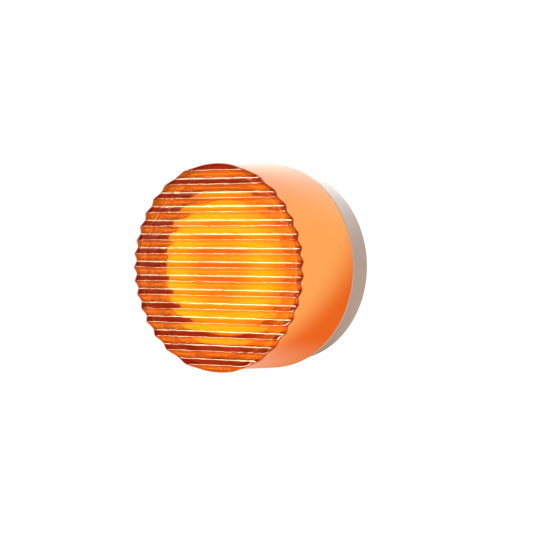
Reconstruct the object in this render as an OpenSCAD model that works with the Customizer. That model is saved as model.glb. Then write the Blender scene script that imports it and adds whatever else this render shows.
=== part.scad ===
// Round wall-mounted darkroom safelight: fluted amber lens, glowing orange drum, white base.
// Every part is drawn in the lamp's own axes, in millimetres: X to the right, Y up, Z out of the wall.
// out_of_wall() then turns it, so that the wall is the plane Y = 0 and the lens faces -Y.

/* [Lens] */
// Diameter of the fluted lens
lens_d = 140; // [136:1:144]
// Flutes across the lens, an odd number so that one ridge lies on the centre line
flute_count = 15; // [13:2:17]
// Slope of a flute's flank, in degrees from the lens's face
flute_angle = 38; // [34:1:40]
// Radius along a flute's ridge
ridge_r = 0.9; // [0.6:0.1:1.2]
// Radius along the valley between two flutes
valley_r = 1.8; // [1.4:0.1:2]
// Distance from the wall to the lens's ridges
lamp_depth = 85; // [84:0.5:90]
// Thickness of the lens at a ridge
lens_t = 4.8; // [4.6:0.1:5.2]

/* [Drum] */
// Wall thickness of the drum
drum_wall = 3.4; // [2.6:0.1:3.6]
// How far the drum widens from its front edge to its rear edge, on the radius
drum_draft = 2.45; // [2:0.05:3]

/* [Base] */
// Depth of the base from the wall to its front face
base_depth = 23; // [22:0.5:24]
// Radius by which the base narrows towards the wall
base_taper = 4.1; // [3:0.1:4.5]
// Wall thickness of the base
base_wall = 2.6; // [2:0.1:3]
// Distance between the two slots in the wall bracket
slot_spacing = 60; // [56:1:62]
// Radius of the hole that the supply cable comes in by
cable_r = 4.5; // [3:0.5:5]

/* [Light engine] */
// Number of LEDs
led_count = 16; // [8:2:20]
// Diameter of the circle that the LEDs stand on
led_circle_d = 73; // [68:1:74]
// Radius of the heat sink's can
can_r = 40; // [39:0.5:41]

/* [Hidden] */

$fn = 96;
eps = 0.01;
gap = 0.3;                       // free gap between parts that move past each other

// Lens
lens_r = lens_d / 2;
pitch = lens_d / flute_count;
rounding = 1 / cos(flute_angle) - 1;
flute_depth = pitch / 2 * tan(flute_angle) - (ridge_r + valley_r) * rounding;
lens_back_z = lamp_depth - lens_t;

// Drum
drum_front_z = lens_back_z - gap;
drum_rear_z = base_depth + 2 * gap;
drum_front_r = lens_r - 1.75;
drum_rear_r = drum_front_r + drum_draft;
drum_slope = drum_draft / (drum_front_z - drum_rear_z);
function drum_out(z) = drum_rear_r - drum_slope * (z - drum_rear_z);
function drum_in(z) = drum_out(z) - drum_wall;
root = 0.5;                      // how far a tab or lug runs into the wall it stands on
edge = 0.6;                      // bevel along the drum's two outer edges
ledge_z = lens_back_z - 11.2;    // front face of the ledge that the diffuser sits on
ledge_t = 2;
ledge_r = lens_r - 17.5;

// Bayonet between the lens and the drum
aperture_r = lens_r - 19;        // visible radius of the diffuser
ring_r = drum_in(drum_front_z) - 0.45;
ring_wall = 1.8;
ring_face_z = ledge_z + 5;
ring_front_z = drum_front_z - gap;
tab_span = 18;
tab_depth = 1.7;
tab_z = ring_front_z - 1.7;
lug_span = 20;
lug_gap = 0.4;
lens_ring_r = ring_r - ring_wall - tab_depth - 0.5;
lens_ring_wall = 2.6;
lug_r = ring_r - ring_wall - lug_gap;
lug_z = ring_face_z + 1.2;
lug_h = tab_z - lug_z - lug_gap;
twist = 26;                      // turn that frees the lens

// Base
base_front_r = drum_rear_r;
base_rear_r = base_front_r - base_taper;
gasket_t = 1;
plate_t = 3;
plate_z = base_depth - plate_t;
taper_power = 1.25;              // the side flares a little more towards the front
function base_out(z) = base_rear_r + base_taper * pow(z / base_depth, taper_power);
boss_r = 3.5;
boss_z = 12;

// Bracket
bracket_t = 2;
arm_w = 20;
tab_y = base_rear_r - 4.6;       // outer face of the bracket's two bent tabs
tab_h = 11.5;
lock_z = 8;
lock_r = 2;
earth_y = 47;

// Collar and reflector
collar_r = drum_in(drum_rear_z) - 1.4;
collar_t = 4.9;
collar_h = 8;
collar_z = base_depth + collar_h;
collar_foot_r = collar_r - 14;
spring_w = 8;
spring_t = 0.5;
notch = 1.2;

// Screw circles on the base's front face
can_flange_r = can_r + 7;
can_screw_r = can_r + 3.9;
collar_screw_r = collar_r - 9.4;
reflector_screw_r = collar_r - 2.5;
driver_screw_x = 31;
wire_hole_y = 27;

// Light engine
can_wall = 2;
can_front_z = base_depth + 27;
can_top_t = 4;
pad_t = 0.5;
board_z = can_front_z + pad_t;
board_t = 1.6;
board_r = can_r + 5;
board_front_z = board_z + board_t;
board_screw_r = 20;
lead_hole_y = -26;
lead_hole_r = 4.5;
driver_size = [56, 36, 20];
connector_size = [10, 10, 5.4];
connector_y = -13;

// Terminal block: three ways, one above another
block_size = [16, 26, 11];
block_at = [21, 30];
block_z = plate_z - block_size[2];
way = 8;
wire_r = 1.1;
lead_r = 0.9;

// Routes of the wires, by hand. The inner two go from the terminal block to the LED driver.
live_route = [[13, 30, 15], [9, 30, 15], [4, 29, 15.5], [1.7, 27, 19], [1.7, 27, 25],
              [1.7, 26.5, 30], [3, 24.5, 32.6], [4, 22, 33], [4, 19.5, 33]];
neutral_route = [[13, 22, 15], [9, 22, 15], [3, 23.5, 15], [-1.2, 25.5, 17], [-1.7, 27, 21], [-1.7, 27, 25],
                 [-1.7, 26.5, 30], [-3, 24.5, 32.6], [-4, 22, 33], [-4, 19.5, 33]];
earth_route = [[13, 38, 15], [9, 38, 15], [4.5, 36.5, 13.5], [1.2, 33.5, 10], [0, 31.5, 6.5],
               [0, 32.5, 3.9], [0, 35.5, 3.35], [0, 39, 3.35]];
positive_route = [[-4, -19.5, 33], [-4, -22, 33], [-3.2, -25, 36], [-2, -26, 43], [-2, -26, 50],
                  [-2, -24.5, 54], [-2, -21.5, 55], [-2, -18, 55]];
negative_route = [for (p = positive_route) [-p[0], p[1], p[2]]];

// ---- Helpers ----

// Turns lamp axes into the part's own frame
module out_of_wall() rotate([90, 0, 0]) children();

// A plain ring
module ring(r_in, r_out, z0, z1) {
    translate([0, 0, z0]) difference() {
        cylinder(r = r_out, h = z1 - z0);
        translate([0, 0, -1]) cylinder(r = r_in, h = z1 - z0 + 2);
    }
}

// A sector of a ring, centred on the angle `mid`
module sector(r_in, r_out, z0, z1, mid, span) {
    rotate([0, 0, mid - span / 2]) rotate_extrude(angle = span)
        translate([r_in, z0]) square([r_out - r_in, z1 - z0]);
}

// Puts its children at equal angles round the axis, on a circle of radius r
module around(count, r, first = 0) {
    for (i = [0:count - 1]) rotate([0, 0, first + i * 360 / count]) translate([r, 0, 0]) children();
}

// A block with rounded upright edges, its base at z = 0
module rounded_block(w, d, h, r) {
    translate([-w / 2 + r, -d / 2, 0]) cube([w - 2 * r, d, h]);
    translate([-w / 2, -d / 2 + r, 0]) cube([w, d - 2 * r, h]);
    for (x = [-1, 1], y = [-1, 1])
        translate([x * (w / 2 - r), y * (d / 2 - r), 0]) cylinder(r = r, h = h, $fn = 32);
}

// A cross-head screw that points to -Z, with the underside of its head at z = 0
module screw(shank_r, shank_l, head_r, head_h) {
    slot_w = head_r * 0.3;
    difference() {
        union() {
            translate([0, 0, -shank_l]) cylinder(r = shank_r, h = shank_l + eps, $fn = 32);
            cylinder(r = head_r, h = head_h * 0.6, $fn = 32);
            translate([0, 0, head_h * 0.6])
                cylinder(r1 = head_r, r2 = head_r * 0.72, h = head_h * 0.4, $fn = 32);
        }
        for (a = [0, 90]) rotate([0, 0, a])
            translate([-head_r * 0.6, -slot_w / 2, head_h * 0.45]) cube([head_r * 1.2, slot_w, head_h]);
    }
}

// A smooth curve through the points p: `steps` points for each stretch
function curve_point(p, i, t) =
    let (a = p[max(i - 1, 0)], b = p[i], c = p[i + 1], d = p[min(i + 2, len(p) - 1)])
    0.5 * (2 * b + (c - a) * t + (2 * a - 5 * b + 4 * c - d) * t * t + (3 * b - a - 3 * c + d) * t * t * t);
function smooth_route(p, steps) =
    [for (i = [0:len(p) - 2]) for (s = [0:steps - 1]) curve_point(p, i, s / steps), p[len(p) - 1]];
function unit(v) = v / norm(v);
// Its directions, with both ends square to the faces that they meet
function tangents(c, p) = [
    unit(p[1] - p[0]),
    for (i = [1:len(c) - 2]) unit(c[i + 1] - c[i - 1]),
    unit(p[len(p) - 1] - p[len(p) - 2])];
function sides(t, i, n) =
    i == len(t) ? [] : let (m = unit(n - (n * t[i]) * t[i])) concat([m], sides(t, i + 1, m));

// A round wire along a route
module wire(route, r, around = 8, steps = 3) {
    c = smooth_route(route, steps);
    t = tangents(c, route);
    start = abs(t[0] * [0, 0, 1]) < 0.9 ? [0, 0, 1] : [1, 0, 0];
    u = sides(t, 0, start);
    points = [for (i = [0:len(c) - 1]) for (k = [0:around - 1])
        let (a = k * 360 / around) c[i] + r * (cos(a) * u[i] + sin(a) * cross(t[i], u[i]))];
    skin = [for (i = [0:len(c) - 2]) for (k = [0:around - 1])
        let (a = i * around + k, b = i * around + (k + 1) % around)
        each [[a, a + around, b], [b, a + around, b + around]]];
    first_end = [for (k = [0:around - 1]) k];
    last_end = [for (k = [around - 1:-1:0]) (len(c) - 1) * around + k];
    polyhedron(points = points, faces = concat(skin, [first_end, last_end]), convexity = 6);
}

// ---- Wall side ----

module wall_bracket() {
    color("lightsteelblue") out_of_wall() difference() {
        union() {
            translate([-arm_w / 2, -tab_y, 0]) cube([arm_w, 2 * tab_y, bracket_t]);
            rounded_block(84, 26, bracket_t, 4);
            // the upper tab, with the lip that the base hangs on
            translate([-arm_w / 2, tab_y - bracket_t, 0]) cube([arm_w, bracket_t, tab_h]);
            translate([-arm_w / 2, tab_y - bracket_t, tab_h - bracket_t + 0.4])
                cube([arm_w, bracket_t + 1.9, bracket_t - 0.4]);
            // the lower tab, for the lock screw
            translate([-arm_w / 2, -tab_y, 0]) cube([arm_w, bracket_t, tab_h]);
        }
        translate([0, 0, -1]) cylinder(r = 9, h = bracket_t + 2);
        for (x = [-1, 1]) translate([x * slot_spacing / 2, 0, -1]) {
            for (end = [-1, 1]) translate([end * 2.75, 0, 0]) cylinder(r = 2.25, h = bracket_t + 2);
            translate([-2.75, -2.25, 0]) cube([5.5, 4.5, bracket_t + 2]);
        }
        translate([0, -tab_y - 1, lock_z]) rotate([-90, 0, 0]) cylinder(r = lock_r + 0.05, h = bracket_t + 2);
        translate([0, earth_y, -1]) cylinder(r = 1.55, h = bracket_t + 2, $fn = 32);
    }
}

module wall_gasket() {
    color("dimgray") out_of_wall() ring(base_rear_r - base_wall + 0.4, base_rear_r - 0.4, 0, gasket_t);
}

module cable_grommet() {
    color("black") out_of_wall() difference() {
        union() {
            cylinder(r = 8.95, h = bracket_t + eps);
            translate([0, 0, bracket_t]) cylinder(r = 11, h = 1.5);
            translate([0, 0, bracket_t + 1.5]) cylinder(r1 = 8, r2 = 6.6, h = 3.5);
        }
        translate([0, 0, -1]) cylinder(r = cable_r, h = 12);
    }
}

module lock_screw() {
    color("silver") out_of_wall() translate([0, -base_rear_r + 1.2, lock_z]) rotate([90, 0, 0])
        screw(lock_r, 8.5, 3.4, 2.2);
}

// ---- Base ----

// Puts its children where screws go into the base from the front
module at_front_screws() {
    around(3, can_screw_r, 30) children();
    around(3, collar_screw_r, 90) children();
    around(2, driver_screw_x) children();
}

module base_shell() {
    steps = 8;
    outer_h = base_depth - gasket_t - edge;
    inner_h = plate_z - gasket_t;
    outer = [for (i = [0:steps]) let (z = gasket_t + outer_h * i / steps) [base_out(z), z]];
    inner = [for (i = [steps:-1:0]) let (z = gasket_t + inner_h * i / steps) [base_out(z) - base_wall, z]];
    color("whitesmoke") out_of_wall() difference() {
        union() {
            rotate_extrude($fn = 180) polygon(concat(
                outer, [[base_front_r - edge, base_depth], [0, base_depth], [0, plate_z]], inner));
            // bosses for the screws that come in from the front
            at_front_screws() translate([0, 0, boss_z]) cylinder(r = boss_r, h = plate_z - boss_z + eps);
            // the rib that hangs on the bracket's lip
            intersection() {
                translate([-12, tab_y + gap, 5.8]) cube([24, 8, 3.6]);
                cylinder(r = base_rear_r - 0.2, h = base_depth);
            }
            // the boss round the lock screw
            translate([0, -base_rear_r + 2.9, lock_z]) rotate([90, 0, 0]) cylinder(r = 5.5, h = 2.2);
        }
        translate([0, -tab_y - 0.2, lock_z]) rotate([90, 0, 0]) cylinder(r = lock_r + 0.25, h = 12);
        translate([0, -base_rear_r + 1.2, lock_z]) rotate([90, 0, 0]) cylinder(r = 3.8, h = 6);
        // pilot holes
        at_front_screws() translate([0, 0, boss_z + 1.5]) cylinder(r = 1.3, h = base_depth);
        for (y = [-way / 2, way / 2])
            translate([block_at[0], block_at[1] + y, plate_z - 1]) cylinder(r = 1.1, h = 3.2);
        translate([0, wire_hole_y, plate_z - 1]) cylinder(r = 5.5, h = plate_t + 2);
        // the groove for the light seal
        ring(base_front_r - 3.3, base_front_r - 1.5, base_depth - 0.8, base_depth + 1);
    }
}

module light_seal() {
    color("dimgray") out_of_wall()
        ring(base_front_r - 3.3, base_front_r - 1.5, base_depth - 0.8, base_depth + gap);
}

module wire_grommet() {
    color("black") out_of_wall() translate([0, wire_hole_y, 0]) difference() {
        union() {
            ring(4, 5.5, plate_z, base_depth);
            ring(4, 6.8, plate_z - 1.4, plate_z);
            ring(4, 6.8, base_depth, base_depth + 1.4);
        }
        translate([0, 0, plate_z - 3]) cylinder(r = 4, h = 10);
    }
}

// ---- Wiring ----

module terminal_block() {
    w = block_size[0];
    d = block_size[1];
    h = block_size[2];
    color("ivory") out_of_wall() translate([block_at[0], block_at[1], block_z]) difference() {
        union() {
            for (i = [-1:1]) translate([0, i * way, 0]) rounded_block(w - 3, 7.2, h, 1);
            translate([-w / 2, -d / 2, 3]) cube([w, d, h - 3]);
        }
        for (i = [-1:1], x = [-1, 1]) translate([x * 3.6, i * way, -1]) cylinder(r = 2.3, h = 6, $fn = 32);
        for (i = [-1:1]) translate([3, i * way, 6]) rotate([0, 90, 0]) cylinder(r = 1.9, h = 8, $fn = 32);
        for (y = [-way / 2, way / 2]) translate([0, y, -1]) {
            cylinder(r = 2.3, h = 5, $fn = 32);
            cylinder(r = 1.3, h = 14, $fn = 32);
        }
    }
}

module terminal_screws() {
    color("goldenrod") out_of_wall() translate([block_at[0], block_at[1], block_z])
        for (i = [-1:1], x = [-1, 1]) translate([x * 3.6, i * way, 1.5]) difference() {
            cylinder(r = 2.1, h = 3, $fn = 32);
            translate([-3, -0.35, -1]) cube([6, 0.7, 2]);
        }
}

module terminal_fixings() {
    color("silver") out_of_wall() for (y = [-way / 2, way / 2])
        translate([block_at[0], block_at[1] + y, block_z + 4]) mirror([0, 0, 1]) screw(1.05, 9, 2, 1.6);
}

module earth_screw() {
    color("goldenrod") out_of_wall() {
        translate([0, earth_y, bracket_t + 0.8]) screw(1.5, 2.8, 2.9, 1.8);
        // the ring tongue that is crimped on the earth wire
        translate([0, earth_y, bracket_t]) {
            ring(1.5, 3.2, 0, 0.8);
            translate([-1.3, -5, 0]) cube([2.6, 2.5, 0.8]);
            translate([0, -8, 1.35]) rotate([-90, 0, 0]) cylinder(r = 1.3, h = 4, $fn = 32);
        }
    }
}

module live_wire() {
    color("saddlebrown") out_of_wall() wire(live_route, wire_r);
}

module neutral_wire() {
    color("royalblue") out_of_wall() wire(neutral_route, wire_r);
}

module earth_wire() {
    color("yellowgreen") out_of_wall() wire(earth_route, wire_r);
}

// ---- Drum holder ----

module collar() {
    color("white") out_of_wall() difference() {
        union() {
            ring(collar_r - collar_t, collar_r, base_depth, collar_z);
            ring(collar_foot_r, collar_r - collar_t + eps, base_depth, base_depth + 2.5);
        }
        around(3, collar_r, 30) translate([-notch, -spring_w / 2 - 0.2, base_depth - 1])
            cube([2 * notch, spring_w + 0.4, collar_h + 2]);
        around(3, collar_screw_r, 90) translate([0, 0, base_depth - 1]) cylinder(r = 1.7, h = 5, $fn = 32);
        around(3, reflector_screw_r, 60) translate([0, 0, base_depth + 3])
            cylinder(r = 0.95, h = collar_h, $fn = 32);
    }
}

module collar_screws() {
    color("silver") out_of_wall()
        around(3, collar_screw_r, 90) translate([0, 0, base_depth + 2.5]) screw(1.25, 9, 2.8, 2);
}

module drum_springs() {
    steps = 12;
    rise = drum_in(base_depth + 5) - gap - collar_r + notch - spring_t;
    // inner face of a spring, measured from the collar's surface
    bow = [for (i = [0:steps])
        [rise * pow(sin(180 * i / steps), 2) - notch, base_depth + 0.8 + (collar_h - 1.6) * i / steps]];
    color("silver") out_of_wall() around(3, collar_r, 30)
        translate([0, spring_w / 2, 0]) rotate([90, 0, 0]) linear_extrude(spring_w)
            polygon(concat(bow, [for (i = [steps:-1:0]) bow[i] + [spring_t, 0]]));
}

module reflector_plate() {
    color("white") out_of_wall() difference() {
        ring(can_r + 4.6, collar_r - 0.7, collar_z, collar_z + 0.8);
        around(3, reflector_screw_r, 60) translate([0, 0, collar_z - 1]) cylinder(r = 1.2, h = 3, $fn = 32);
    }
}

module reflector_screws() {
    color("silver") out_of_wall()
        around(3, reflector_screw_r, 60) translate([0, 0, collar_z + 0.8]) screw(0.9, 5, 1.8, 1.2);
}

// ---- Light engine ----

module heat_sink() {
    fins = 24;                   // set so that the flange's screws fall between two fins
    color("lightgray") out_of_wall() difference() {
        union() {
            cylinder(r = can_r, h = can_front_z);
            cylinder(r = can_flange_r, h = base_depth + 2);
            around(fins, can_r - 0.5, 180 / fins) translate([0, -0.6, base_depth + 1])
                cube([4.5, 1.2, can_front_z - base_depth - 4]);
        }
        translate([0, 0, -1]) cylinder(r = can_flange_r + 1, h = base_depth + 1);
        translate([0, 0, -1]) cylinder(r = can_r - can_wall, h = can_front_z - can_top_t + 1);
        around(3, can_screw_r, 30) translate([0, 0, base_depth - 1]) cylinder(r = 1.7, h = 5, $fn = 32);
        around(3, board_screw_r, 90) translate([0, 0, can_front_z - can_top_t - 1])
            cylinder(r = 1.3, h = 8, $fn = 32);
        translate([0, lead_hole_y, can_front_z - can_top_t - 1]) cylinder(r = lead_hole_r, h = 8);
    }
}

module heat_sink_screws() {
    color("silver") out_of_wall()
        around(3, can_screw_r, 30) translate([0, 0, base_depth + 2]) screw(1.25, 8.5, 2.6, 2);
}

module led_driver() {
    w = driver_size[0];
    d = driver_size[1];
    h = driver_size[2];
    color("black") out_of_wall() translate([0, 0, base_depth]) difference() {
        union() {
            rounded_block(w, d, h - 1, 2.5);
            translate([0, 0, h - 1]) rounded_block(w - 2, d - 2, 1, 2);
            rounded_block(2 * driver_screw_x + 6, 9, 2, 2);
            // the glands that the wires go in by, two at each end
            for (x = [-1, 1]) translate([x * 4, -d / 2 - 1.5, 10]) rotate([-90, 0, 0])
                cylinder(r = 2, h = d + 3, $fn = 32);
        }
        around(2, driver_screw_x) translate([0, 0, -1]) cylinder(r = 1.7, h = 5, $fn = 32);
    }
}

module driver_screws() {
    color("silver") out_of_wall()
        around(2, driver_screw_x) translate([0, 0, base_depth + 2]) screw(1.25, 8.5, 2.6, 2);
}

module thermal_pad() {
    color("gray") out_of_wall() difference() {
        translate([0, 0, can_front_z]) cylinder(r = can_r - 1, h = pad_t);
        around(3, board_screw_r, 90) translate([0, 0, can_front_z - 1]) cylinder(r = 2, h = 4, $fn = 32);
        translate([0, lead_hole_y, can_front_z - 1]) cylinder(r = lead_hole_r, h = 4);
    }
}

module led_board() {
    color("white") out_of_wall() difference() {
        translate([0, 0, board_z]) cylinder(r = board_r, h = board_t);
        around(3, board_screw_r, 90) translate([0, 0, board_z - 1]) cylinder(r = 1.7, h = 4, $fn = 32);
        translate([0, lead_hole_y, board_z - 1]) cylinder(r = lead_hole_r, h = 4);
    }
}

module leds() {
    color("orange") out_of_wall() around(led_count, led_circle_d / 2, 180 / led_count) {
        translate([-2.5, -2.5, board_front_z]) cube([5, 5, 0.9]);
        translate([0, 0, board_front_z + 0.9 - eps]) cylinder(r1 = 2.2, r2 = 1.6, h = 0.5, $fn = 32);
    }
}

module board_screws() {
    color("silver") out_of_wall()
        around(3, board_screw_r, 90) translate([0, 0, board_front_z]) screw(1.25, 5.5, 2.6, 1.8);
}

module board_connector() {
    color("white") out_of_wall() translate([0, connector_y, board_front_z]) difference() {
        rounded_block(connector_size[0], connector_size[1], connector_size[2], 0.8);
        for (x = [-1, 1]) translate([x * 2, -connector_size[1] / 2 - 1, 2.9]) rotate([-90, 0, 0])
            cylinder(r = 1.2, h = 1 + eps, $fn = 32);
        translate([-3.4, -2, connector_size[2] - 1.2]) cube([6.8, 4, 2]);
    }
}

module positive_lead() {
    color("firebrick") out_of_wall() wire(positive_route, lead_r);
}

module negative_lead() {
    color("darkslategray") out_of_wall() wire(negative_route, lead_r);
}

// ---- Drum and diffuser ----

module drum() {
    boss_bottom = ledge_z - ledge_t - 4.5;
    color("darkorange") out_of_wall() difference() {
        union() {
            rotate_extrude($fn = 180) polygon([
                [drum_out(drum_rear_z) - edge, drum_rear_z], [drum_out(drum_rear_z), drum_rear_z + edge],
                [drum_out(drum_front_z), drum_front_z - edge], [drum_out(drum_front_z) - edge, drum_front_z],
                [drum_in(drum_front_z), drum_front_z], [drum_in(ledge_z), ledge_z], [ledge_r, ledge_z],
                [ledge_r, ledge_z - ledge_t], [drum_in(ledge_z - ledge_t), ledge_z - ledge_t],
                [drum_in(drum_rear_z), drum_rear_z]]);
            around(3, ring_r - 5, 30) translate([0, 0, boss_bottom])
                cylinder(r = 2.6, h = ledge_z - boss_bottom - 1, $fn = 32);
        }
        around(3, ring_r - 5, 30) translate([0, 0, boss_bottom + 1]) cylinder(r = 1.1, h = 12, $fn = 32);
    }
}

module diffuser_gasket() {
    color("gray") out_of_wall() ring(ledge_r, aperture_r + 3, ledge_z, ledge_z + 0.5);
}

module diffuser() {
    color("linen") out_of_wall() translate([0, 0, ledge_z + 0.5]) cylinder(r = aperture_r + 3, h = 2.5);
}

module diffuser_ring() {
    bay = ring_r - ring_wall;
    rebate_r = aperture_r + 3.3;
    stop_z = ring_face_z - root;
    stop_span = 3.8;
    stop_off = lug_span / 2 + stop_span / 2 + 0.5;      // middle of a stop, from the middle of a lug
    color("chocolate") out_of_wall() difference() {
        union() {
            rotate_extrude($fn = 180) polygon([
                [aperture_r, ledge_z + 3], [aperture_r, ring_face_z], [bay, ring_face_z], [bay, ring_front_z],
                [ring_r, ring_front_z], [ring_r, ledge_z], [rebate_r, ledge_z], [rebate_r, ledge_z + 3]]);
            for (a = [90, 210, 330]) {
                sector(bay - tab_depth, bay + root, tab_z, ring_front_z, a, tab_span);
                // stops at the two ends of the lens's turn
                for (stop = [a - stop_off, a + stop_off + twist])
                    sector(bay - tab_depth, bay + root, stop_z, ring_front_z, stop, stop_span);
            }
        }
        around(3, ring_r - 5, 30) {
            translate([0, 0, ledge_z - 1]) cylinder(r = 1.3, h = 8, $fn = 32);
            translate([0, 0, ring_face_z - 1.7]) cylinder(r = 2.3, h = 4, $fn = 32);
        }
    }
}

module ring_screws() {
    color("silver") out_of_wall()
        around(3, ring_r - 5, 30) translate([0, 0, ring_face_z - 1.7]) screw(1.05, 8, 2.1, 1.5);
}

// ---- Lens ----

// The lens's cross-section: a flat back and rounded zigzag flutes
module flute_profile() {
    arc_steps = 4;
    half = (flute_count - 1) / 2;
    arc = [for (s = [-arc_steps:arc_steps]) flute_angle * s / arc_steps];
    valley_z = lamp_depth - flute_depth;
    crest = [for (i = [-half:half]) each concat(
        [for (a = arc) [i * pitch + ridge_r * sin(a), lamp_depth - ridge_r + ridge_r * cos(a)]],
        [for (a = arc) [(i + 0.5) * pitch + valley_r * sin(a), valley_z + valley_r - valley_r * cos(a)]])];
    polygon(concat([[-lens_r - 1, lens_back_z], [-lens_r - 1, valley_z]], crest,
                   [[lens_r + 5, valley_z + valley_r], [lens_r + 5, lens_back_z]]));
}

module amber_lens() {
    color("orangered", 0.6) out_of_wall() intersection() {
        translate([0, 0, lens_back_z]) cylinder(r = lens_r, h = lens_t + 1, $fn = 180);
        rotate([90, 0, 90]) translate([0, 0, -lens_r - 1]) linear_extrude(lens_d + 2) flute_profile();
    }
}

module lens_ring() {
    color("chocolate") out_of_wall() {
        ring(lens_ring_r - lens_ring_wall, lens_ring_r, lug_z - 0.6, lens_back_z);
        for (a = [90, 210, 330]) sector(lens_ring_r - root, lug_r, lug_z, lug_z + lug_h, a, lug_span);
    }
}

wall_bracket();
wall_gasket();
cable_grommet();
base_shell();
lock_screw();
terminal_block();
terminal_screws();
terminal_fixings();
earth_screw();
live_wire();
neutral_wire();
earth_wire();
wire_grommet();
collar();
collar_screws();
drum_springs();
light_seal();
reflector_plate();
reflector_screws();
heat_sink();
heat_sink_screws();
led_driver();
driver_screws();
thermal_pad();
led_board();
leds();
board_screws();
board_connector();
positive_lead();
negative_lead();
drum();
diffuser_gasket();
diffuser();
diffuser_ring();
ring_screws();
amber_lens();
lens_ring();
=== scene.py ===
"""Looks for the darkroom safelight: fluted amber lens, glowing drum, white base and the parts inside."""
from math import cos, pi, radians, sin, sqrt

import bmesh
import bpy
from mathutils import Matrix, Vector


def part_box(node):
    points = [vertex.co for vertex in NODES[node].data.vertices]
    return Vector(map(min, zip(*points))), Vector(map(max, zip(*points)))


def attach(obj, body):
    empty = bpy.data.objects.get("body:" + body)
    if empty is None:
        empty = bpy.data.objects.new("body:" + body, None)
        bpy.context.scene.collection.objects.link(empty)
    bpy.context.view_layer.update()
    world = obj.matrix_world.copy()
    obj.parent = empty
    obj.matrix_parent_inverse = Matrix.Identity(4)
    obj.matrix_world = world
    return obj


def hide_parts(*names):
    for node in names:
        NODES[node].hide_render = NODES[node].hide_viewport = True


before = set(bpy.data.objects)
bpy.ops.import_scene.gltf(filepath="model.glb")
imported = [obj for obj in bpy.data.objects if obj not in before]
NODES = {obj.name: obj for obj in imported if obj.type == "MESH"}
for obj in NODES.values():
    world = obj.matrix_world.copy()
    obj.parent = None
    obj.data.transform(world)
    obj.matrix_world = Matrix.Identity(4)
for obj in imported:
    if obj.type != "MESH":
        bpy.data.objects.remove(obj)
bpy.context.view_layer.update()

# ---- The view, and what surrounds the lamp ----

CAM_AZIMUTH = radians(35.9)      # from straight ahead, towards +X
CAM_ELEVATION = radians(1.5)
CAM_ROLL = radians(0.5)
CAM_DISTANCE = 1.345
CAM_LENS = 132.5                 # mm, on a 36 mm sensor
CAM_AIM = Vector((0.0078, -0.0363, -0.0001))

GLOW_STRENGTH = 3.7              # radiance of the bright part of the studio, behind and above on the left
GLOW_ABOVE = (0, 0.35)           # height of a direction, between which it rises to its full strength
GLOW_BEHIND = (0.3, 0.8)         # the same, for how far a direction points backwards
GLOW_LEFT = (0.45, -0.6)         # and for how far it points to the right
AMBIENT = 0.55                   # radiance on the right, where the lamp's own glow warms the room
AMBIENT_LEFT = 0.07              # radiance on the left
AMBIENT_RIGHT = (-0.4, 0.4)      # how far to the right a direction points, between the two
AMBIENT_FAR = (0.3, 0.9, 0.15)   # as directions point further back, between these, it falls to this share
AMBIENT_LOW = (-0.8, 0.1, 1.9)   # and as they point lower, between these, it rises to this multiple
AMBIENT_COLOUR = (1, 0.77, 0.64)
BACKDROP = 1.05                  # the white that the camera sees

# name, azimuth and elevation in degrees, distance, width and height in metres, radiance
SOFTBOXES = (("key_strip", -44, 33, 2.0, 0.46, 1.3, 26),
             ("overhead", 20, 86, 0.8, 0.9, 0.8, 0.5))
FLOOR_R = 3                      # the floor is far below the lamp, and only the camera sees it
FLOOR_Z = -0.45


def make_camera():
    """A camera that looks at the lamp as the photograph does."""
    back = Vector((sin(CAM_AZIMUTH) * cos(CAM_ELEVATION), -cos(CAM_AZIMUTH) * cos(CAM_ELEVATION),
                   sin(CAM_ELEVATION)))
    right = Vector((cos(CAM_AZIMUTH), sin(CAM_AZIMUTH), 0))
    turn = Matrix.Rotation(-CAM_ROLL, 3, back)
    right = turn @ right
    up = back.cross(right)
    data = bpy.data.cameras.new("camera")
    data.lens = CAM_LENS
    data.sensor_width = 36
    data.clip_start = 0.01
    camera = bpy.data.objects.new("camera", data)
    camera.matrix_world = Matrix.Translation(CAM_AIM + CAM_DISTANCE * back) @ Matrix(
        (right, up, back)).transposed().to_4x4()
    bpy.context.collection.objects.link(camera)
    bpy.context.scene.camera = camera


def direction(azimuth, elevation):
    """A unit vector towards a place seen from the lamp: azimuth from -Y towards +X, elevation upwards."""
    a, e = radians(azimuth), radians(elevation)
    return Vector((sin(a) * cos(e), -cos(a) * cos(e), sin(e)))


def softbox(name, azimuth, elevation, distance, width, height, radiance):
    """A rectangular light that faces the lamp. Its radiance doesn't depend on its size."""
    data = bpy.data.lights.new(name, "AREA")
    data.shape = "RECTANGLE"
    data.size = width
    data.size_y = height
    data.energy = radiance * pi * width * height
    light = bpy.data.objects.new(name, data)
    away = direction(azimuth, elevation)
    light.location = CAM_AIM + distance * away
    light.rotation_euler = away.to_track_quat("Z", "Y").to_euler()
    bpy.context.collection.objects.link(light)


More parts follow.
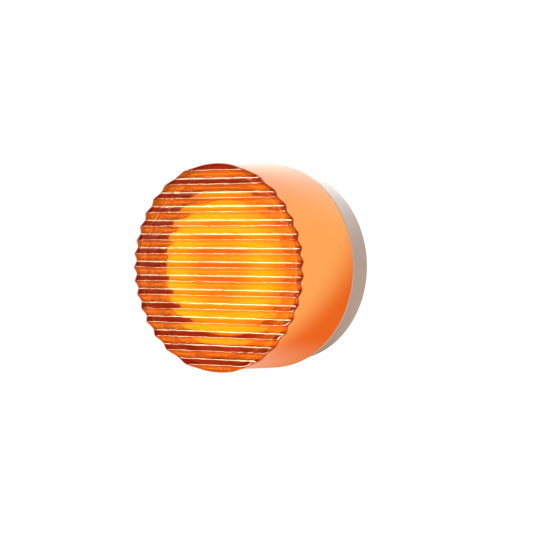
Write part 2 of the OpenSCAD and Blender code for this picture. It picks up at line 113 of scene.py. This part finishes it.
def make_world():
    """Plain white for the camera. As light, it is bright above and behind on the left, warm on the right."""
    world = bpy.data.worlds.new("studio")
    bpy.context.scene.world = world
    world.use_nodes = True
    nodes, links = world.node_tree.nodes, world.node_tree.links
    nodes.clear()

    def add(kind, **settings):
        node = nodes.new(kind)
        for key, value in settings.items():
            setattr(node, key, value)
        return node

    def backdrop(colour, strength):
        node = add("ShaderNodeBackground")
        node.inputs["Color"].default_value = (*colour, 1)
        if isinstance(strength, bpy.types.NodeSocket):
            links.new(strength, node.inputs["Strength"])
        else:
            node.inputs["Strength"].default_value = strength
        return node.outputs[0]

    def ramp(value, low, high, to_low, to_high):
        node = add("ShaderNodeMapRange", interpolation_type="SMOOTHSTEP")
        links.new(value, node.inputs["Value"])
        for key, v in zip(("From Min", "From Max", "To Min", "To Max"), (low, high, to_low, to_high)):
            node.inputs[key].default_value = v
        return node.outputs["Result"]

    def joined(operation, a, b):
        node = add("ShaderNodeMath", operation=operation)
        links.new(a, node.inputs[0])
        links.new(b, node.inputs[1])
        return node.outputs[0]

    towards = add("ShaderNodeSeparateXYZ")
    links.new(add("ShaderNodeTexCoord").outputs["Generated"], towards.inputs[0])
    above = ramp(towards.outputs["Z"], *GLOW_ABOVE, 0, 1)
    behind = ramp(towards.outputs["Y"], *GLOW_BEHIND, 0, 1)
    left = ramp(towards.outputs["X"], *GLOW_LEFT, 0, GLOW_STRENGTH)
    strength = joined("MULTIPLY", joined("MULTIPLY", above, behind), left)
    light = add("ShaderNodeAddShader")
    links.new(backdrop((1, 1, 1), strength), light.inputs[0])
    around = ramp(towards.outputs["X"], *AMBIENT_RIGHT, AMBIENT_LEFT, AMBIENT)
    around = joined("MULTIPLY", around, ramp(towards.outputs["Y"], *AMBIENT_FAR[:2], 1, AMBIENT_FAR[2]))
    around = joined("MULTIPLY", around, ramp(towards.outputs["Z"], *AMBIENT_LOW[:2], AMBIENT_LOW[2], 1))
    links.new(backdrop(AMBIENT_COLOUR, around), light.inputs[1])
    pick = add("ShaderNodeMixShader")
    links.new(add("ShaderNodeLightPath").outputs["Is Camera Ray"], pick.inputs[0])
    links.new(light.outputs[0], pick.inputs[1])
    links.new(backdrop((1, 1, 1), BACKDROP), pick.inputs[2])
    links.new(pick.outputs[0], add("ShaderNodeOutputWorld").inputs["Surface"])


def make_surroundings():
    bpy.context.scene.view_settings.view_transform = "Standard"
    make_world()
    for values in SOFTBOXES:
        softbox(*values)

    bm = bmesh.new()
    bmesh.ops.create_circle(bm, cap_ends=True, segments=64, radius=FLOOR_R)
    floor = new_object("studio_floor", bm)
    floor.location.z = FLOOR_Z
    floor.data.materials.append(floor_material())
    floor.visible_diffuse = floor.visible_glossy = floor.visible_transmission = False


def floor_material():
    """White that gives off some light of its own, so it looks as plain as the backdrop."""
    mat = bpy.data.materials.new("floor_white")
    mat.use_nodes = True
    shader = mat.node_tree.nodes["Principled BSDF"]
    shader.inputs["Base Color"].default_value = (0.5, 0.5, 0.5, 1)
    shader.inputs["Roughness"].default_value = 0.9
    shader.inputs["Emission Color"].default_value = (1, 1, 1, 1)
    shader.inputs["Emission Strength"].default_value = 0.85
    return mat


# ---- Helpers for meshes ----

def new_object(name, bm, smooth=None):
    """An object from a bmesh. smooth is the angle in degrees under which edges are shaded smooth."""
    mesh = bpy.data.meshes.new(name)
    bmesh.ops.recalc_face_normals(bm, faces=bm.faces)
    bm.to_mesh(mesh)
    bm.free()
    ob = bpy.data.objects.new(name, mesh)
    bpy.context.collection.objects.link(ob)
    if smooth:
        for face in mesh.polygons:
            face.use_smooth = True
        mesh.set_sharp_from_angle(angle=radians(smooth))
    return ob


def join_rings(bm, rings):
    """Faces between neighbouring rings of vertices, and from the last ring to the first."""
    for a, b in zip(rings, rings[1:] + rings[:1]):
        for i in range(len(a)):
            j = (i + 1) % len(a)
            bm.faces.new((a[i], b[i], b[j], a[j]))


# ---- Helpers for materials ----

GRAIN_DEPTH = 0.00002
BRUSH_DEPTH = 0.00001


class Shader:
    """A Principled material, with nodes added one by one. sockets are its inputs, with _ for a space."""

    def __init__(self, name, **sockets):
        self.mat = bpy.data.materials.new(name)
        self.mat.use_nodes = True
        self.tree = self.mat.node_tree
        self.bsdf = self.tree.nodes["Principled BSDF"]
        self.out = self.tree.nodes["Material Output"]
        self.coords = self.add("ShaderNodeTexCoord").outputs["Object"]
        for socket, value in sockets.items():
            self.bsdf.inputs[socket.replace("_", " ")].default_value = value

    def add(self, kind, **settings):
        node = self.tree.nodes.new(kind)
        for key, value in settings.items():
            setattr(node, key, value)
        return node

    def link(self, source, target):
        self.tree.links.new(source, target)

    def math(self, operation, *values, clamp=False):
        node = self.add("ShaderNodeMath", operation=operation, use_clamp=clamp)
        for socket, value in zip(node.inputs, values):
            if isinstance(value, bpy.types.NodeSocket):
                self.link(value, socket)
            else:
                socket.default_value = value
        return node.outputs[0]

    def noise(self, scale, detail=3, roughness=0.5, stretch=None):
        """A noise value. scale is per metre; stretch squeezes the pattern along each axis."""
        node = self.add("ShaderNodeTexNoise")
        node.inputs["Scale"].default_value = scale
        node.inputs["Detail"].default_value = detail
        node.inputs["Roughness"].default_value = roughness
        where = self.coords
        if stretch:
            mapping = self.add("ShaderNodeMapping")
            mapping.inputs["Scale"].default_value = stretch
            self.link(self.coords, mapping.inputs["Vector"])
            where = mapping.outputs[0]
        self.link(where, node.inputs["Vector"])
        return node.outputs["Fac"]

    def span(self, value, low, high, to_low, to_high, smooth=False):
        """Maps value from low..high to to_low..to_high, and holds it there."""
        node = self.add("ShaderNodeMapRange", interpolation_type="SMOOTHSTEP" if smooth else "LINEAR")
        self.link(value, node.inputs["Value"])
        for key, v in zip(("From Min", "From Max", "To Min", "To Max"), (low, high, to_low, to_high)):
            node.inputs[key].default_value = v
        return node.outputs["Result"]

    def mix(self, factor, a, b):
        """The colour between a and b, each a colour or a socket. factor is a socket."""
        node = self.add("ShaderNodeMix", data_type="RGBA")
        for socket, value in ((node.inputs["Factor"], factor), (node.inputs[6], a), (node.inputs[7], b)):
            if isinstance(value, bpy.types.NodeSocket):
                self.link(value, socket)
            else:
                socket.default_value = (*value, 1)
        return node.outputs[2]

    def split(self):
        node = self.add("ShaderNodeSeparateXYZ")
        self.link(self.coords, node.inputs[0])
        return node.outputs

    def bump(self, height, strength, distance):
        node = self.add("ShaderNodeBump")
        node.inputs["Strength"].default_value = strength
        node.inputs["Distance"].default_value = distance
        self.link(height, node.inputs["Height"])
        self.link(node.outputs[0], self.bsdf.inputs["Normal"])

    def colour(self, value):
        self.link(value, self.bsdf.inputs["Base Color"])

    def rough(self, value):
        self.link(value, self.bsdf.inputs["Roughness"])

    def light(self, value, strength=1.0):
        """Makes the surface give off light of this colour."""
        self.link(value, self.bsdf.inputs["Emission Color"])
        self.bsdf.inputs["Emission Strength"].default_value = strength


def shade(colour, factor):
    return tuple(min(1, c * factor) for c in colour)


def moulded(name, colour, roughness, grain=2500, depth=GRAIN_DEPTH):
    """Moulded plastic or rubber: fine spark grain, faint mottling and uneven gloss."""
    s = Shader(name)
    s.colour(s.mix(s.noise(60, 4), shade(colour, 0.93), shade(colour, 1.04)))
    s.rough(s.span(s.noise(140, 5), 0.3, 0.7, roughness - 0.06, roughness + 0.06))
    s.bump(s.noise(grain, 2), 0.25, depth)
    return s.mat


def metal(name, colour, roughness, stretch, scale):
    """Bare or plated metal: brushing along one axis, with stains in the plating."""
    s = Shader(name, Metallic=1.0)
    s.colour(s.mix(s.span(s.noise(90, 5), 0.35, 0.7, 0, 1), shade(colour, 0.84), colour))
    lines = s.noise(scale, 6, 0.7, stretch)
    s.rough(s.span(lines, 0.25, 0.75, roughness - 0.1, roughness + 0.12))
    s.bump(lines, 0.3, BRUSH_DEPTH)
    return s.mat


# ---- Sizes, from the frame ----

def reach(node):
    """A round node's radius, and its nearest and furthest distance from the wall."""
    low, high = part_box(node)
    return high.x, -high.y, -low.y


LENS_R, LENS_BACK, LENS_FRONT = reach("amber_lens")
DRUM_R, DRUM_REAR, DRUM_FRONT = reach("drum")
DRUM_TAPER = 0.00245             # by which the drum's radius is smaller at its front edge
FRONT_R = DRUM_R - DRUM_TAPER
RING_R = reach("diffuser_ring")[0]
LED_CIRCLE = 0.0365              # radius of the circle that the LEDs stand on
APERTURE = 0.051                 # radius of the opening in front of the diffuser


# ---- The lens ----

FLUTES = 15
FLUTE_ANGLE = radians(38)        # of a flute's sides against the lens's plane
RIDGE_R = 0.0009                 # rounding along a ridge
VALLEY_R = 0.0018                # and along a valley
RIM_R = 0.0007                   # rounding of the lens's front edge
DARK_RIM_R = 0.0675                # outside this radius the lens's back is ground matt, like its side, and dark with painted shade
BACK_CHAMFER = 0.0003
LENS_COLUMNS = 48
EDGE_ROWS = (0.0008, 0.003, 0.006)   # where flat rows end the flutes at top and bottom: shares of LENS_R
PAINTED_GLOW_FACING = (-0.25, -0.55)     # upward part of a face's normal, between which the painted glow on downward faces rises
BAND_T = 0.0002                  # the band of painted glow round the lens's side
BAND_GAP = 0.000014              # between it and the side
BAND_SETBACK = 0.0005            # how far it stays behind the front edge
BAND_MIN = 0.0001                # its least width


def flute_rows(steps=7):
    """(height up the lens, distance from the wall) across the flutes, from the lowest to the highest."""
    pitch = 2 * LENS_R / FLUTES
    sharp = pitch / 2 * sin(FLUTE_ANGLE) / cos(FLUTE_ANGLE)
    depth = sharp - (RIDGE_R + VALLEY_R) * (1 / cos(FLUTE_ANGLE) - 1)
    valley = LENS_FRONT - depth
    arc = [FLUTE_ANGLE * (2 * i / (steps - 1) - 1) for i in range(steps)]
    rows = []
    for i in range(-(FLUTES // 2) - 1, FLUTES // 2 + 1):
        rows += [(i * pitch + RIDGE_R * sin(a), LENS_FRONT - RIDGE_R * (1 - cos(a))) for a in arc]
        rows += [((i + 0.5) * pitch + VALLEY_R * sin(a), valley + VALLEY_R * (1 - cos(a))) for a in arc]
    edge = [LENS_R * (1 - share) for share in EDGE_ROWS]
    inside = [row for row in rows if abs(row[0]) < edge[-1]]
    return [(-h, valley) for h in edge] + inside + [(h, valley) for h in reversed(edge)]


def rim_drop(radius):
    """How far the lens's front edge is rounded back at this radius."""
    into = radius - (LENS_R - RIM_R)
    return 0 if into <= 0 else RIM_R - sqrt(max(0, RIM_R ** 2 - min(into, RIM_R) ** 2))


def make_lens():
    """The lens: a grid of rows and columns over the flutes, then rings down its side and in to its back."""
    rows = flute_rows()
    verts, faces = [], []

    def vertex(x, up, out):
        verts.append((x, -out, up))
        return len(verts) - 1

    grid = []
    for up, out in rows:
        half = sqrt(LENS_R ** 2 - up ** 2)
        line = []
        for c in range(LENS_COLUMNS + 1):
            x = half * sin(pi / 2 * (2 * c / LENS_COLUMNS - 1))
            line.append(vertex(x, up, out - rim_drop(sqrt(x * x + up * up))))
        grid.append(line)
    bottom = vertex(0, -LENS_R, rows[0][1] - RIM_R)
    top = vertex(0, LENS_R, rows[-1][1] - RIM_R)
    for a, b in zip(grid, grid[1:]):
        faces += [(a[c], a[c + 1], b[c + 1], b[c]) for c in range(LENS_COLUMNS)]
    faces += [(bottom, grid[0][c + 1], grid[0][c]) for c in range(LENS_COLUMNS)]
    faces += [(top, grid[-1][c], grid[-1][c + 1]) for c in range(LENS_COLUMNS)]

    front_faces = len(faces)
    loop = [bottom] + [line[-1] for line in grid] + [top] + [line[0] for line in reversed(grid)]
    rings = [loop]
    for inset, lift in ((0, BACK_CHAMFER), (BACK_CHAMFER, 0), (LENS_R - DARK_RIM_R, 0)):
        scale = 1 - inset / LENS_R
        rings.append([vertex(verts[i][0] * scale, verts[i][2] * scale, LENS_BACK + lift) for i in loop])
    for outer, inner in zip(rings, rings[1:]):
        for i in range(len(loop)):
            j = (i + 1) % len(loop)
            faces.append((outer[i], outer[j], inner[j], inner[i]))
    ground_faces = len(faces)
    faces.append(tuple(reversed(rings[-1])))

    mesh = bpy.data.meshes.new("lens_fluted")
    mesh.from_pydata(verts, [], faces)
    for face in mesh.polygons[front_faces:ground_faces]:
        face.material_index = 1
    bm = bmesh.new()
    bm.from_mesh(mesh)
    bpy.data.meshes.remove(mesh)
    lens = new_object("lens_fluted", bm, smooth=35)
    lens.data.materials.append(lens_material())
    lens.data.materials.append(lens_edge_material())
    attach(lens, "lens")
    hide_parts("amber_lens")
    make_lens_band([verts[i] for i in loop])


def make_lens_band(edge):
    """A thin band round the lens's side that glows with painted light, a little behind the scalloped edge.
    """
    bm = bmesh.new()
    outer, inner = 1 + BAND_T / LENS_R, 1 + BAND_GAP / LENS_R
    back = -LENS_BACK - BACK_CHAMFER
    rings = []
    for x, y, up in edge:
        front = min(y + BAND_SETBACK, back - BAND_MIN)
        section = ((outer, front), (outer, back), (inner, back), (inner, front))
        rings.append([bm.verts.new((x * scale, depth, up * scale)) for scale, depth in section])
    join_rings(bm, rings)
    band = new_object("lens_band_painted_glow", bm, smooth=40)
    band.data.materials.append(band_material())
    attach(band, "lens")


def lens_material():
    """Clear amber glass: redder the thicker it is. The flutes' lower faces give off painted light, a
    red-orange glow in place of the warm reflections seen in them.
    """
    s = Shader("amber_glass", IOR=1.5, Base_Color=(1.0, 0.97, 0.92, 1), Transmission_Weight=1.0,
               Specular_Tint=(1.0, 0.94, 0.6, 1))
    s.rough(s.span(s.noise(220, 3), 0.3, 0.7, 0.015, 0.045))
    facing = s.add("ShaderNodeSeparateXYZ")
    s.link(s.add("ShaderNodeTexCoord").outputs["Normal"], facing.inputs[0])
    lower = s.span(facing.outputs["Z"], *PAINTED_GLOW_FACING, 0, 1, smooth=True)
    # painted light: faces that point downwards glow red-orange, in place of reflections
    s.light(s.mix(lower, (0, 0, 0), (0.32, 0.085, 0.004)))
    clear = s.add("ShaderNodeBsdfTransparent")
    clear.inputs["Color"].default_value = (0.9, 0.5, 0.1, 1)
    path = s.add("ShaderNodeLightPath")
    pick = s.add("ShaderNodeMixShader")
    s.link(path.outputs["Is Shadow Ray"], pick.inputs[0])
    s.link(s.bsdf.outputs[0], pick.inputs[1])
    s.link(clear.outputs[0], pick.inputs[2])
    s.link(pick.outputs[0], s.out.inputs["Surface"])
    absorb = s.add("ShaderNodeVolumeAbsorption")
    absorb.inputs["Color"].default_value = (0.985, 0.76, 0.0, 1)
    absorb.inputs["Density"].default_value = 600
    s.link(absorb.outputs[0], s.out.inputs["Volume"])
    return s.mat


def lens_edge_material():
    """The lens's side and the rim of its back, ground matt and dark with painted shade: deep red against the
    glow.
    """
    s = Shader("amber_ground_painted_shade", Roughness=0.7, Specular_IOR_Level=0.15)
    # painted shade: dark red over the rim, with a faint red glow
    s.colour(s.mix(s.noise(300, 4), (0.1, 0.012, 0.002), (0.14, 0.018, 0.003)))
    s.light(s.mix(s.noise(120, 3), (0.16, 0.008, 0.0), (0.22, 0.014, 0.0)))
    s.bump(s.noise(2200, 3), 0.4, 0.00004)
    return s.mat


def band_material():
    """Painted light in the lens's side, as orange as the front of the drum, with the same painted shade and
    light.
    """
    s = Shader("amber_side_painted_glow", Roughness=0.45)
    s.colour(s.mix(s.noise(300, 4), (0.2, 0.04, 0.004), (0.24, 0.05, 0.005)))
    # painted light: the band glows like the drum's front
    s.light(drum_painted_glow(s))
    s.bump(s.noise(2200, 3), 0.3, 0.00002)
    return s.mat


# ---- The drum ----

DRUM_WALL = 0.0034
REAR_ROUND = 0.0012              # rounding of the drum's outer rear edge
INNER_ROUND = 0.0005             # of its inner rear edge
EDGE_ROUND = 0.0003              # and of its front edge and its ledge
LEDGE_FRONT = -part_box("diffuser_gasket")[1].y
LEDGE_T = 0.002
LEDGE_R = 0.0525                 # inner radius of the ledge that the diffuser sits on
BOSS_CIRCLE = 0.0594             # radius of the circle that the bosses stand on
BOSS_ANGLES = (30, 150, 270)
BOSS_R = 0.0026
BOSS_DRAFT = 0.0002              # by which a boss gets thinner
BOSS_H = 0.0055

GLOW_PAINTED_SHADE = (0.7, 0.1, 0.0)            # painted shade: the glow is deepest low down at the rear
GLOW_PAINTED_LIT = (0.865, 0.35, 0.085)       # painted light: paler in front, and in the upper half
GLOW_PAINTED_TOP = (0.865, 0.2, 0.07)          # painted, along the top
GLOW_PAINTED_UNDER_REAR = (0.73, 0.22, 0.06)          # painted reflection along the underside, paler towards the front
GLOW_PAINTED_UNDER_FRONT = (0.86, 0.38, 0.24)
INNER_FRONT = (0.1, 0.012, 0.001)        # the drum's front edge and its bore in front of the ledge
HEIGHT_SHARE = 1.2                       # how much height counts against length, from the painted shade to the painted light
PAINTED_LIT_SPAN = (-0.35, 0.6)                 # of the sum of the two
TOP_SPAN = (0.5, 1)                      # of height, which is 1 at the top and -1 at the bottom
UNDER_SPAN = (-0.65, -1)
SKIN_DEPTHS = (0.0004, 0.0001)           # inside the front radius, between which the skin's glow rises


def corner(at, before, after, radius, steps=5):
    """Points of a rounded corner in an outline, between the points before and after it."""
    at, before, after = Vector(at), Vector(before), Vector(after)
    to_a, to_b = (before - at).normalized(), (after - at).normalized()
    half = to_a.angle(to_b) / 2
    reach_out = radius / sin(half) * cos(half)
    middle = at + (to_a + to_b).normalized() * radius / sin(half)
    first, last = at + to_a * reach_out - middle, at + to_b * reach_out - middle
    return [tuple(middle + radius * first.slerp(last, i / steps)) for i in range(steps + 1)]


def rounded(outline):
    """A closed outline of (x, y, corner radius) with its corners rounded."""
    points = []
    for i, (x, y, radius) in enumerate(outline):
        if radius:
            points += corner((x, y), outline[i - 1][:2], outline[(i + 1) % len(outline)][:2], radius)
        else:
            points.append((x, y))
    return points


def lathe(bm, outline, segments=160):
    """Turns a closed outline of (radius, distance from the wall) round the lamp's axis."""
    rings = []
    for i in range(segments):
        a = 2 * pi * i / segments
        rings.append([bm.verts.new((r * cos(a), -z, r * sin(a))) for r, z in outline])
    join_rings(bm, rings)


def boss(bm, angle):
    """A boss behind the ledge, for one of the screws that hold the diffuser's ring."""
    front = LEDGE_FRONT - LEDGE_T / 2
    middle = Vector((BOSS_CIRCLE * cos(angle), -(front - BOSS_H / 2), BOSS_CIRCLE * sin(angle)))
    place = Matrix.Translation(middle) @ Matrix.Rotation(-pi / 2, 4, "X")
    bmesh.ops.create_cone(bm, cap_ends=True, segments=32, radius1=BOSS_R, radius2=BOSS_R - BOSS_DRAFT,
                          depth=BOSS_H, matrix=place)


def make_drum():
    """The drum with its ledge and bosses. In an outline each point has its corner's radius."""
    slope = (DRUM_R - FRONT_R) / (DRUM_FRONT - DRUM_REAR)

    def outer(z):
        return DRUM_R - slope * (z - DRUM_REAR)

    def inner(z):
        return outer(z) - DRUM_WALL

    behind = LEDGE_FRONT - LEDGE_T
    outline = rounded([
        (outer(DRUM_REAR), DRUM_REAR, REAR_ROUND), (outer(DRUM_FRONT), DRUM_FRONT, EDGE_ROUND),
        (inner(DRUM_FRONT), DRUM_FRONT, EDGE_ROUND), (inner(LEDGE_FRONT), LEDGE_FRONT, 0),
        (LEDGE_R, LEDGE_FRONT, EDGE_ROUND), (LEDGE_R, behind, EDGE_ROUND),
        (inner(behind), behind, 0), (inner(DRUM_REAR), DRUM_REAR, INNER_ROUND)])
    bm = bmesh.new()
    lathe(bm, outline)
    for angle in BOSS_ANGLES:
        boss(bm, radians(angle))
    drum = new_object("drum_shell", bm, smooth=40)
    drum.data.materials.append(drum_material())
    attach(drum, "shade")
    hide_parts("drum")


# ---- Lit parts ----

LIT_ASIDE = -0.006               # where the middle of the disc's bright ring seems to lie, to the left
LIT_FADE = 0.024                 # distance from the LEDs' circle over which the ring fades


def from_axis(s, aside=0.0):
    """A surface point's distance from the lamp's axis, or from a line beside it."""
    x, y, z = s.split()
    x = s.math("SUBTRACT", x, aside)
    return s.math("SQRT", s.math("ADD", s.math("MULTIPLY", x, x), s.math("MULTIPLY", z, z)))


def diffuser_material():
    """Opal sheet with the LEDs' ring of light on it, which seems to lie a little to the left."""
    s = Shader("opal_lit", Roughness=0.4)
    s.colour(s.mix(s.noise(80), (0.2, 0.13, 0.06), (0.24, 0.16, 0.07)))
    off_ring = s.math("ABSOLUTE", s.math("SUBTRACT", from_axis(s, LIT_ASIDE), LED_CIRCLE))
    ring = s.span(off_ring, 0, LIT_FADE, 1, 0, smooth=True)
    cloud = s.span(s.noise(45, 2), 0.3, 0.7, -0.08, 0.08)
    s.light(s.mix(s.math("ADD", ring, cloud, clamp=True), (0.8, 0.2, 0.0), (0.94, 0.56, 0.004)))
    return s.mat


def drum_painted_glow(s):
    """Light through the drum's skin, with painted shade and light on it: deep orange low down at the rear,
    and a pale painted reflection along the bottom edge.
    """
    x, y, z = s.split()
    along = s.span(s.math("MULTIPLY", y, -1.0), DRUM_REAR, DRUM_FRONT, 0, 1)
    height = s.math("DIVIDE", z, from_axis(s))
    # painted shade and light: the glow deepens towards the rear and low down
    warm = s.math("ADD", along, s.math("MULTIPLY", height, HEIGHT_SHARE))
    light = s.mix(s.span(warm, *PAINTED_LIT_SPAN, 0, 1, smooth=True), GLOW_PAINTED_SHADE, GLOW_PAINTED_LIT)
    light = s.mix(s.span(height, *TOP_SPAN, 0, 1, smooth=True), light, GLOW_PAINTED_TOP)
    # painted reflection: pale along the underside, paler in front
    underside = s.mix(along, GLOW_PAINTED_UNDER_REAR, GLOW_PAINTED_UNDER_FRONT)
    return s.mix(s.span(height, *UNDER_SPAN, 0, 1, smooth=True), light, underside)


def drum_material():
    """Satin translucent orange with light inside, its glow carrying painted shade and light. Only a little
    of it gets out in front of the ledge.
    """
    s = Shader("drum_glow_and_painted_light", Roughness=0.42, IOR=1.46)
    s.colour(s.mix(s.noise(70, 4), (0.2, 0.04, 0.004), (0.24, 0.05, 0.005)))
    skin = s.span(from_axis(s), FRONT_R - SKIN_DEPTHS[0], FRONT_R - SKIN_DEPTHS[1], 0, 1)
    behind_ledge = s.span(s.math("MULTIPLY", s.split()[1], -1.0), LEDGE_FRONT - LEDGE_T, LEDGE_FRONT, 1, 0)
    s.light(s.mix(s.math("MAXIMUM", skin, behind_ledge), INNER_FRONT, drum_painted_glow(s)))
    s.bump(s.noise(3000, 2), 0.2, 0.00001)
    return s.mat


def led_material():
    """The LEDs' yellow phosphor, lit."""
    s = Shader("led_lit", Roughness=0.35)
    s.colour(s.mix(s.noise(400), (1.0, 0.55, 0.08), (1.0, 0.66, 0.15)))
    s.light(s.mix(s.noise(300), (1.0, 0.5, 0.04), (1.0, 0.62, 0.1)), 5)
    return s.mat


def ring_material():
    """Satin red-brown plastic that a little of the light gets into, near the opening. It is brighter on the
    right with painted light, where the key light through the lens falls.
    """
    s = Shader("ring_glow_and_painted_light", Roughness=0.42, IOR=1.5, Specular_IOR_Level=1.0)
    s.colour(s.mix(s.noise(90, 4), (0.08, 0.012, 0.002), (0.11, 0.016, 0.003)))
    near = s.span(from_axis(s), APERTURE, RING_R, 1, 0)
    glow = s.mix(near, (0.2, 0.01, 0.0), (0.26, 0.02, 0.0))
    # painted light: brighter towards the right, where the key light shines in through the lens
    right = s.span(s.split()[0], 0.2 * RING_R, 0.9 * RING_R, 0, 1, smooth=True)
    s.light(s.mix(right, glow, (0.7, 0.2, 0.006)))
    s.bump(s.noise(2500, 2), 0.25, 0.00002)
    return s.mat


# ---- Which material each CAD node gets ----

def paint_nodes():
    """Gives every CAD node a material. The amber lens and the drum have pieces of their own instead."""
    screws = metal("screw_zinc", (0.66, 0.67, 0.68), 0.3, (1, 1, 1), 1500)
    brass = metal("brass_turned", (0.78, 0.56, 0.24), 0.28, (1, 1, 1), 1500)
    rubber = moulded("rubber_black", (0.02, 0.02, 0.02), 0.7)
    foam = moulded("foam_dark", (0.035, 0.03, 0.03), 0.95, 900, 0.0002)
    white = moulded("base_white", (0.86, 0.83, 0.8), 0.42, 2600)
    nylon = moulded("nylon_natural", (0.78, 0.76, 0.66), 0.5, 1800)
    ring = ring_material()
    finishes = {
        screws: ("lock_screw", "terminal_fixings", "collar_screws", "reflector_screws", "heat_sink_screws",
                 "driver_screws", "board_screws", "ring_screws"),
        brass: ("terminal_screws", "earth_screw"),
        rubber: ("cable_grommet", "wire_grommet"),
        foam: ("wall_gasket", "light_seal", "diffuser_gasket"),
        white: ("base_shell", "collar"),
        nylon: ("terminal_block", "board_connector"),
        ring: ("diffuser_ring", "lens_ring"),
        metal("bracket_zinc", (0.62, 0.64, 0.66), 0.34, (1, 1, 12), 500): ("wall_bracket",),
        metal("spring_steel", (0.5, 0.5, 0.51), 0.25, (1, 12, 1), 700): ("drum_springs",),
        metal("cast_aluminium", (0.74, 0.75, 0.76), 0.42, (1, 8, 1), 400): ("heat_sink",),
        moulded("driver_black", (0.025, 0.025, 0.028), 0.55, 1500, 0.00004): ("led_driver",),
        moulded("silicone_grey", (0.35, 0.37, 0.4), 0.8): ("thermal_pad",),
        moulded("powder_white", (0.88, 0.88, 0.86), 0.6, 1400, 0.00005): ("reflector_plate",),
        moulded("solder_mask_white", (0.86, 0.86, 0.84), 0.3, 700, 0.00001): ("led_board",),
        moulded("pvc_brown", (0.12, 0.045, 0.02), 0.38, 900): ("live_wire",),
        moulded("pvc_blue", (0.02, 0.09, 0.38), 0.38, 900): ("neutral_wire",),
        moulded("pvc_green", (0.3, 0.5, 0.03), 0.38, 900): ("earth_wire",),
        moulded("pvc_red", (0.5, 0.015, 0.01), 0.38, 900): ("positive_lead",),
        moulded("pvc_black", (0.015, 0.015, 0.015), 0.38, 900): ("negative_lead",),
        diffuser_material(): ("diffuser",),
        led_material(): ("leds",),
    }
    for mat, names in finishes.items():
        for name in names:
            for place in NODES[name].material_slots:
                place.material = mat


make_camera()
make_surroundings()
make_lens()
make_drum()
paint_nodes()
